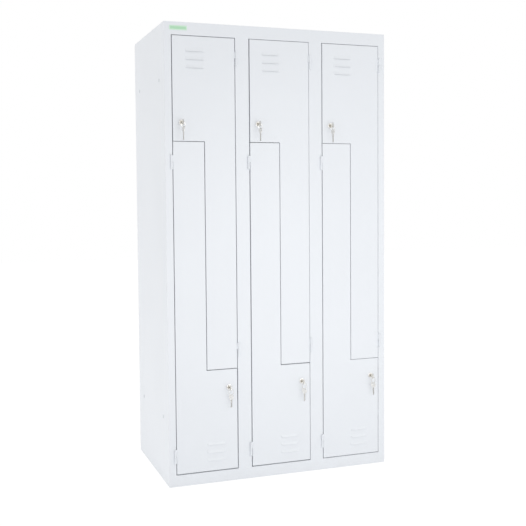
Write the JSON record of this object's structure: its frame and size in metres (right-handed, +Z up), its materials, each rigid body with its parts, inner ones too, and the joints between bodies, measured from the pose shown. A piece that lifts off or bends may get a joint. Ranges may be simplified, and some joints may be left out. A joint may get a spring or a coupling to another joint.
{
  "type": "z locker",
  "caption": "Steel z locker with interlocking L-shaped doors over stacked compartments, louvred, each with a cam lock, a key and a hanging spare key.",
  "frame": {"origin": "on the floor under the middle of the whole part, the keys that hang in front included", "axes": "+Z up, the doors face -Y, +X to the right seen from the front"},
  "size_m": [0.9, 0.5881, 1.74],
  "materials": {
    "paint": "satin powder coat",
    "nickel": "nickel plated",
    "key_steel": "worn nickel-plated steel",
    "label": "matt"
  },
  "bodies": {
    "carcass": {"front_frame": "paint", "left_side_panel": "paint", "right_side_panel": "paint", "back_panel": "paint", "top_panel": "paint", "bottom_panel": "paint", "column_divider_1": "paint", "column_divider_2": "paint", "z_partition_1": "paint", "z_partition_2": "paint", "z_partition_3": "paint", "label_plate": "label", "upper_1_hinge_bottom": "paint", "upper_1_hinge_top": "paint", "upper_2_hinge_bottom": "paint", "upper_2_hinge_top": "paint", "upper_3_hinge_bottom": "paint", "upper_3_hinge_top": "paint", "lower_1_hinge_bottom": "paint", "lower_1_hinge_top": "paint", "lower_2_hinge_bottom": "paint", "lower_2_hinge_top": "paint", "lower_3_hinge_bottom": "paint", "lower_3_hinge_top": "paint"},
    "upper_door_1": {"upper_door_1": "paint", "upper_1_lock_housing": "nickel"},
    "upper_1_lock_plug": {"upper_1_lock_plug": "nickel"},
    "upper_1_key": {"upper_1_key": "key_steel"},
    "upper_1_key_ring": {"upper_1_key_ring": "key_steel"},
    "upper_1_spare_key": {"upper_1_spare_key": "key_steel"},
    "upper_door_2": {"upper_door_2": "paint", "upper_2_lock_housing": "nickel"},
    "upper_2_lock_plug": {"upper_2_lock_plug": "nickel"},
    "upper_2_key": {"upper_2_key": "key_steel"},
    "upper_2_key_ring": {"upper_2_key_ring": "key_steel"},
    "upper_2_spare_key": {"upper_2_spare_key": "key_steel"},
    "upper_door_3": {"upper_door_3": "paint", "upper_3_lock_housing": "nickel"},
    "upper_3_lock_plug": {"upper_3_lock_plug": "nickel"},
    "upper_3_key": {"upper_3_key": "key_steel"},
    "upper_3_key_ring": {"upper_3_key_ring": "key_steel"},
    "upper_3_spare_key": {"upper_3_spare_key": "key_steel"},
    "lower_door_1": {"lower_door_1": "paint", "lower_1_lock_housing": "nickel"},
    "lower_1_lock_plug": {"lower_1_lock_plug": "nickel"},
    "lower_1_key": {"lower_1_key": "key_steel"},
    "lower_1_key_ring": {"lower_1_key_ring": "key_steel"},
    "lower_1_spare_key": {"lower_1_spare_key": "key_steel"},
    "lower_door_2": {"lower_door_2": "paint", "lower_2_lock_housing": "nickel"},
    "lower_2_lock_plug": {"lower_2_lock_plug": "nickel"},
    "lower_2_key": {"lower_2_key": "key_steel"},
    "lower_2_key_ring": {"lower_2_key_ring": "key_steel"},
    "lower_2_spare_key": {"lower_2_spare_key": "key_steel"},
    "lower_door_3": {"lower_door_3": "paint", "lower_3_lock_housing": "nickel"},
    "lower_3_lock_plug": {"lower_3_lock_plug": "nickel"},
    "lower_3_key": {"lower_3_key": "key_steel"},
    "lower_3_key_ring": {"lower_3_key_ring": "key_steel"},
    "lower_3_spare_key": {"lower_3_spare_key": "key_steel"}
  },
  "joints": [
    {"name": "upper_door_1_hinge", "type": "hinge", "parent": "carcass", "child": "upper_door_1", "pos_m": [-0.173, -0.26022, 0.8679], "axis": [0, 0, 1], "range_deg": [0, 95]},
    {"name": "upper_1_lock_turn", "type": "hinge", "parent": "upper_door_1", "child": "upper_1_lock_plug", "pos_m": [-0.3869, -0.25593, 1.371], "axis": [0, 1, 0], "range_deg": [0, 90]},
    {"name": "upper_1_key_pull", "type": "slide", "parent": "upper_1_lock_plug", "child": "upper_1_key", "axis": [0, -1, 0], "range_m": [0, 0.03]},
    {"name": "upper_1_ring_swing", "type": "hinge", "parent": "upper_1_key", "child": "upper_1_key_ring", "pos_m": [-0.3869, -0.28308, 1.36935], "axis": [-0.9903, -0.1392, 0], "range_deg": [-12, 85]},
    {"name": "upper_1_spare_swing", "type": "hinge", "parent": "upper_1_key_ring", "child": "upper_1_spare_key", "pos_m": [-0.3869, -0.28308, 1.35235], "axis": [-0.9903, -0.1392, 0], "range_deg": [-5, 60]},
    {"name": "upper_door_2_hinge", "type": "hinge", "parent": "carcass", "child": "upper_door_2", "pos_m": [0.127, -0.26022, 0.8679], "axis": [0, 0, 1], "range_deg": [0, 95]},
    {"name": "upper_2_lock_turn", "type": "hinge", "parent": "upper_door_2", "child": "upper_2_lock_plug", "pos_m": [-0.0869, -0.25593, 1.371], "axis": [0, 1, 0], "range_deg": [0, 90]},
    {"name": "upper_2_key_pull", "type": "slide", "parent": "upper_2_lock_plug", "child": "upper_2_key", "axis": [0, -1, 0], "range_m": [0, 0.03]},
    {"name": "upper_2_ring_swing", "type": "hinge", "parent": "upper_2_key", "child": "upper_2_key_ring", "pos_m": [-0.0869, -0.28308, 1.36935], "axis": [-0.9903, -0.1392, 0], "range_deg": [-12, 85]},
    {"name": "upper_2_spare_swing", "type": "hinge", "parent": "upper_2_key_ring", "child": "upper_2_spare_key", "pos_m": [-0.0869, -0.28308, 1.35235], "axis": [-0.9903, -0.1392, 0], "range_deg": [-5, 60]},
    {"name": "upper_door_3_hinge", "type": "hinge", "parent": "carcass", "child": "upper_door_3", "pos_m": [0.427, -0.26022, 0.8679], "axis": [0, 0, 1], "range_deg": [0, 95]},
    {"name": "upper_3_lock_turn", "type": "hinge", "parent": "upper_door_3", "child": "upper_3_lock_plug", "pos_m": [0.2131, -0.25593, 1.371], "axis": [0, 1, 0], "range_deg": [0, 90]},
    {"name": "upper_3_key_pull", "type": "slide", "parent": "upper_3_lock_plug", "child": "upper_3_key", "axis": [0, -1, 0], "range_m": [0, 0.03]},
    {"name": "upper_3_ring_swing", "type": "hinge", "parent": "upper_3_key", "child": "upper_3_key_ring", "pos_m": [0.2131, -0.28308, 1.36935], "axis": [-0.9903, -0.1392, 0], "range_deg": [-12, 85]},
    {"name": "upper_3_spare_swing", "type": "hinge", "parent": "upper_3_key_ring", "child": "upper_3_spare_key", "pos_m": [0.2131, -0.28308, 1.35235], "axis": [-0.9903, -0.1392, 0], "range_deg": [-5, 60]},
    {"name": "lower_door_1_hinge", "type": "hinge", "parent": "carcass", "child": "lower_door_1", "pos_m": [-0.427, -0.26022, 0.8679], "axis": [0, 0, -1], "range_deg": [0, 95]},
    {"name": "lower_1_lock_turn", "type": "hinge", "parent": "lower_door_1", "child": "lower_1_lock_plug", "pos_m": [-0.2131, -0.25593, 0.3648], "axis": [0, 1, 0], "range_deg": [0, 90]},
    {"name": "lower_1_key_pull", "type": "slide", "parent": "lower_1_lock_plug", "child": "lower_1_key", "axis": [0, -1, 0], "range_m": [0, 0.03]},
    {"name": "lower_1_ring_swing", "type": "hinge", "parent": "lower_1_key", "child": "lower_1_key_ring", "pos_m": [-0.2131, -0.28308, 0.36315], "axis": [-0.8829, -0.4695, 0], "range_deg": [-12, 85]},
    {"name": "lower_1_spare_swing", "type": "hinge", "parent": "lower_1_key_ring", "child": "lower_1_spare_key", "pos_m": [-0.2131, -0.28308, 0.33815], "axis": [-0.8829, -0.4695, 0], "range_deg": [-5, 60]},
    {"name": "lower_door_2_hinge", "type": "hinge", "parent": "carcass", "child": "lower_door_2", "pos_m": [-0.127, -0.26022, 0.8679], "axis": [0, 0, -1], "range_deg": [0, 95]},
    {"name": "lower_2_lock_turn", "type": "hinge", "parent": "lower_door_2", "child": "lower_2_lock_plug", "pos_m": [0.0869, -0.25593, 0.3648], "axis": [0, 1, 0], "range_deg": [0, 90]},
    {"name": "lower_2_key_pull", "type": "slide", "parent": "lower_2_lock_plug", "child": "lower_2_key", "axis": [0, -1, 0], "range_m": [0, 0.03]},
    {"name": "lower_2_ring_swing", "type": "hinge", "parent": "lower_2_key", "child": "lower_2_key_ring", "pos_m": [0.0869, -0.28308, 0.36315], "axis": [-0.8829, -0.4695, 0], "range_deg": [-12, 85]},
    {"name": "lower_2_spare_swing", "type": "hinge", "parent": "lower_2_key_ring", "child": "lower_2_spare_key", "pos_m": [0.0869, -0.28308, 0.33815], "axis": [-0.8829, -0.4695, 0], "range_deg": [-5, 60]},
    {"name": "lower_door_3_hinge", "type": "hinge", "parent": "carcass", "child": "lower_door_3", "pos_m": [0.173, -0.26022, 0.8679], "axis": [0, 0, -1], "range_deg": [0, 95]},
    {"name": "lower_3_lock_turn", "type": "hinge", "parent": "lower_door_3", "child": "lower_3_lock_plug", "pos_m": [0.3869, -0.25593, 0.3648], "axis": [0, 1, 0], "range_deg": [0, 90]},
    {"name": "lower_3_key_pull", "type": "slide", "parent": "lower_3_lock_plug", "child": "lower_3_key", "axis": [0, -1, 0], "range_m": [0, 0.03]},
    {"name": "lower_3_ring_swing", "type": "hinge", "parent": "lower_3_key", "child": "lower_3_key_ring", "pos_m": [0.3869, -0.28308, 0.36315], "axis": [-0.8829, -0.4695, 0], "range_deg": [-12, 85]},
    {"name": "lower_3_spare_swing", "type": "hinge", "parent": "lower_3_key_ring", "child": "lower_3_spare_key", "pos_m": [0.3869, -0.28308, 0.33815], "axis": [-0.8829, -0.4695, 0], "range_deg": [-5, 60]}
  ]
}
